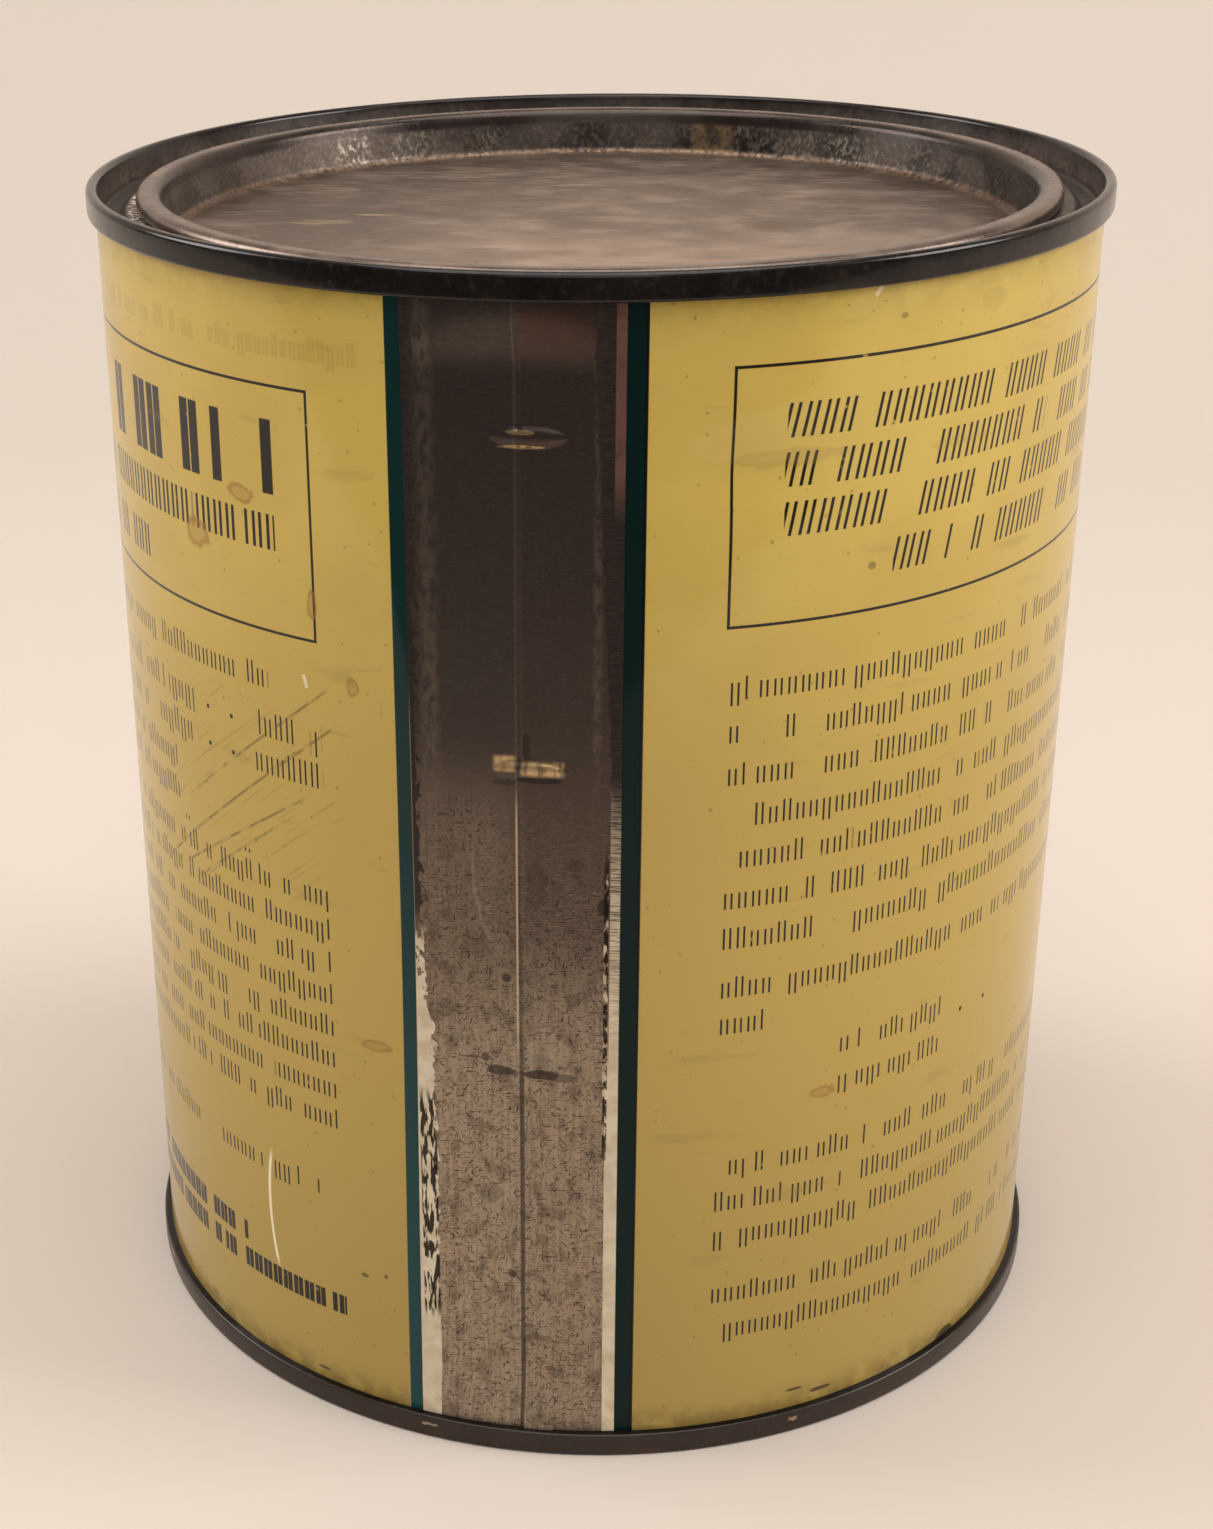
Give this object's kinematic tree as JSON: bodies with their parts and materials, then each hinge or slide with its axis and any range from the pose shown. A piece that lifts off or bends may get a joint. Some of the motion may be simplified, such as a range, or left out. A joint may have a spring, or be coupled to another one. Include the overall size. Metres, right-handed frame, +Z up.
{
  "type": "milk powder tin",
  "caption": "Round lever-lid tin for milk powder, shut: straight printed body with a locked side seam, double-seamed ends and a sunk plug lid in a lever ring.",
  "frame": {"origin": "centre of the base, on the plane that the tin stands on", "axes": "+Z up along the tin's axis; the side seam faces -Y"},
  "size_m": [0.1302, 0.1302, 0.1543],
  "materials": {
    "printed_tinplate": "yellow litho print under clear varnish, aged, with bare seam margin",
    "dark_tinplate": "dark brown-black oxidised tinplate, semi-gloss",
    "tarnished_tinplate": "dull brown-grey tarnished tinplate with wear and light rust"
  },
  "bodies": {
    "root": {"can_body": "printed_tinplate", "lever_ring": "dark_tinplate", "lever_lid": "tarnished_tinplate", "base_end": "dark_tinplate"}
  },
  "joints": []
}
